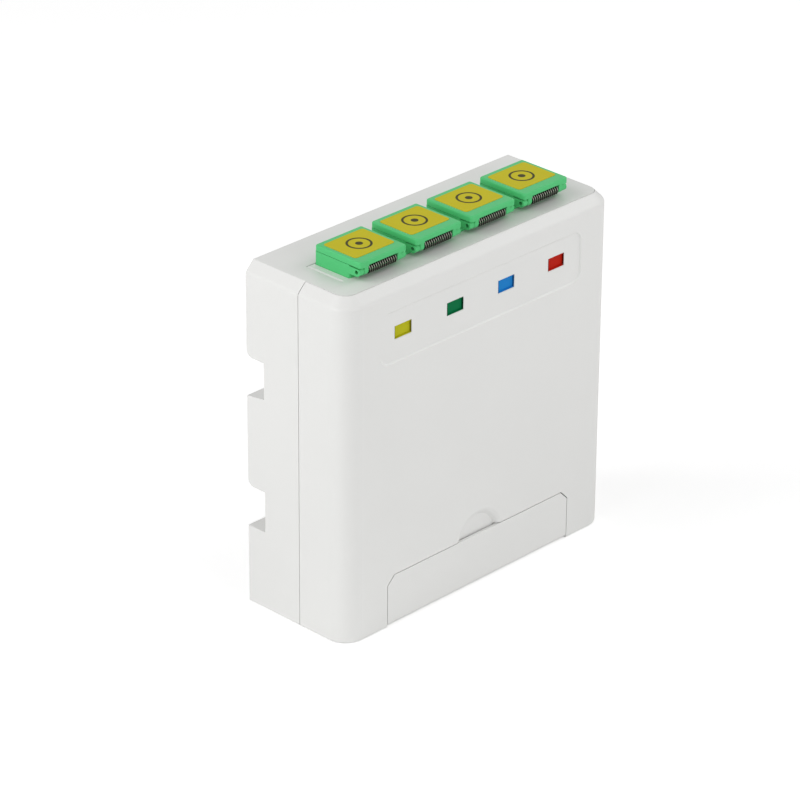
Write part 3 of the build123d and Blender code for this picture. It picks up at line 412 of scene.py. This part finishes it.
def latch_coil():
    """Compression spring with closed ends: its height grows by one thickness of wire over the first three
    quarters of a turn, by another over the last, and evenly between them."""
    low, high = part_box("latch_spring")
    wire_radius = 0.16 * MM
    turns, closed_turns, stations = 8.0, 0.75, 300
    mean = (high.x - low.x) / 2 - wire_radius
    middle_y = (low.y + high.y) / 2
    turn = np.linspace(0, turns, stations)
    angle = turn * 2 * np.pi
    thickness = 2 * wire_radius
    foot = np.clip(turn / closed_turns, 0, 1) * thickness
    head = np.clip(1 - (turns - turn) / closed_turns, 0, 1) * thickness
    run = np.clip((turn - closed_turns) / (turns - 2 * closed_turns), 0, 1)
    height = low.z + wire_radius + foot + head + run * (high.z - low.z - 3 * thickness)
    path = np.stack([mean * np.cos(angle), middle_y + mean * np.sin(angle), height], axis=1)
    outward = (path - (0, middle_y, 0)) * (1, 1, 0)
    piece = wire("latch_coil", path, outward, wire_radius, SPRING)
    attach(piece, "housing")
    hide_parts("latch_spring")
    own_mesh(piece)


for port in PORTS:
    hinge_coil(port)
latch_coil()


# Slopes in the end grooves

def groove_slope(name, side):
    """Slope in the groove at one end of the row of ports, side -1 on the left and 1 on the right: a wedge
    from the foot of the groove's outer wall up its inner wall, carried along Y."""
    play, seat, toe, crest = 0.02 * MM, 0.01 * MM, 0.04 * MM, 0.38 * MM
    outer, inner = side * (GROOVE_OUTER - play), side * (GROOVE_INNER + seat)
    profile = np.array([(outer, GROOVE_FLOOR + seat), (inner, GROOVE_FLOOR + seat),
                        (inner, GROOVE_FLOOR + crest), (outer, GROOVE_FLOOR + toe)])
    clockwise = profile[::side]
    ends = [np.insert(clockwise, 1, y, axis=1) for y in (GROOVE_FRONT + play, GROOVE_BACK - play)]
    piece = skin(name, np.stack(ends), SHELL)
    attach(piece, "housing")


groove_slope("groove_slope_left", side=-1)
groove_slope("groove_slope_right", side=1)


# Studio: pale floor, soft lamps and an even white surround

def floor():
    """Square floor at the foot of the box. The camera sees it a little brighter than the lamps make it,
    and more so far from the box, where their light doesn't reach."""
    level = solid_box[0][2] - 0.02 * MM
    half = 3.0
    lit_radius, fade = 0.75, 0.4
    near_glow, far_glow = 0.36, 0.72
    near_share = near_glow / far_glow
    paper = Finish("pale_paper", Specular_IOR_Level=0.0, Roughness=0.9, Emission_Strength=far_glow)
    seen = paper.node("ShaderNodeLightPath", out="Is Camera Ray")
    away = reach(paper.axis("X"), paper.axis("Y")).above(lit_radius, fade)
    glow = paper.mix(away, (near_share, near_share, near_share, 1), (1, 1, 1, 1))
    material = paper.surface(Base_Color=linear(244, 244, 244),
                             Emission_Color=paper.mix(seen, (0, 0, 0, 1), glow))
    corners = [(-half, -half, level), (half, -half, level), (half, half, level), (-half, half, level)]
    add_piece("floor", corners, [(0, 1, 2, 3)], material)


def surround(strength):
    """White world of a strength, and at full white where the camera or a reflection sees it."""
    world = Nodes(bpy.data.worlds.new("studio"), "Background")
    camera, glossy, clear = (world.node("ShaderNodeLightPath", out=f"Is {ray} Ray")
                             for ray in ("Camera", "Glossy", "Transmission"))
    seen = camera.most(glossy).most(clear)
    bpy.context.scene.world = world.surface(
        Color=(1, 1, 1, 1), Strength=strength + (1 - strength) * seen)


def bearing(azimuth, elevation):
    """Unit vector from the box at two angles in degrees. Azimuth 0 is in front, and 90 to the right."""
    azimuth, elevation = np.radians((azimuth, elevation))
    return Vector((np.sin(azimuth) * np.cos(elevation), -np.cos(azimuth) * np.cos(elevation),
                   np.sin(elevation)))


def lamp(name, azimuth, elevation, power):
    """Soft square lamp that faces the box."""
    light = bpy.data.lights.new(name, "AREA")
    light.size = LAMP_SIZE
    light.energy = power
    holder = bpy.data.objects.new(name, light)
    holder.location = LAMP_DISTANCE * bearing(azimuth, elevation)
    holder.rotation_euler = holder.location.to_track_quat("Z", "Y").to_euler()
    holder.visible_camera = False
    bpy.context.collection.objects.link(holder)


def add_camera(azimuth, elevation, roll, distance):
    """Long-lens camera at the photograph's viewing angle. Its angles are in degrees, and it is shifted a
    little to the left and down, so that the box stands in the picture as it does in the photograph."""
    roll = np.radians(roll)
    back = bearing(azimuth, elevation)
    right = bearing(azimuth + 90, 0)
    up = back.cross(right)
    box_middle = Vector((0, -8.5 * MM, 1.35 * MM))
    left_shift, down_shift = 6.13 * MM, 0.93 * MM
    place = box_middle + back * distance - right * left_shift - up * down_shift
    tilted_right = right * np.cos(roll) + up * np.sin(roll)
    turn = Matrix((tilted_right, back.cross(tilted_right), back)).transposed()
    camera = bpy.data.objects.new("camera", bpy.data.cameras.new("camera"))
    camera.matrix_world = Matrix.Translation(place) @ turn.to_4x4()
    camera.data.lens = 182.55
    camera.data.sensor_width = 36.0
    camera.data.clip_start = 0.05
    bpy.context.collection.objects.link(camera)
    bpy.context.scene.camera = camera


floor()
surround(strength=0.4)
lamp("back_lamp", azimuth=-120, elevation=40, power=1.67)
lamp("left_lamp", azimuth=-90, elevation=12, power=1.32)
lamp("front_lamp", azimuth=0, elevation=12, power=1.28)
lamp("right_lamp", azimuth=60, elevation=40, power=1.26)
add_camera(azimuth=-45.757, elevation=26.775, roll=0.38, distance=782.56 * MM)
bpy.context.scene.view_settings.view_transform = "Standard"
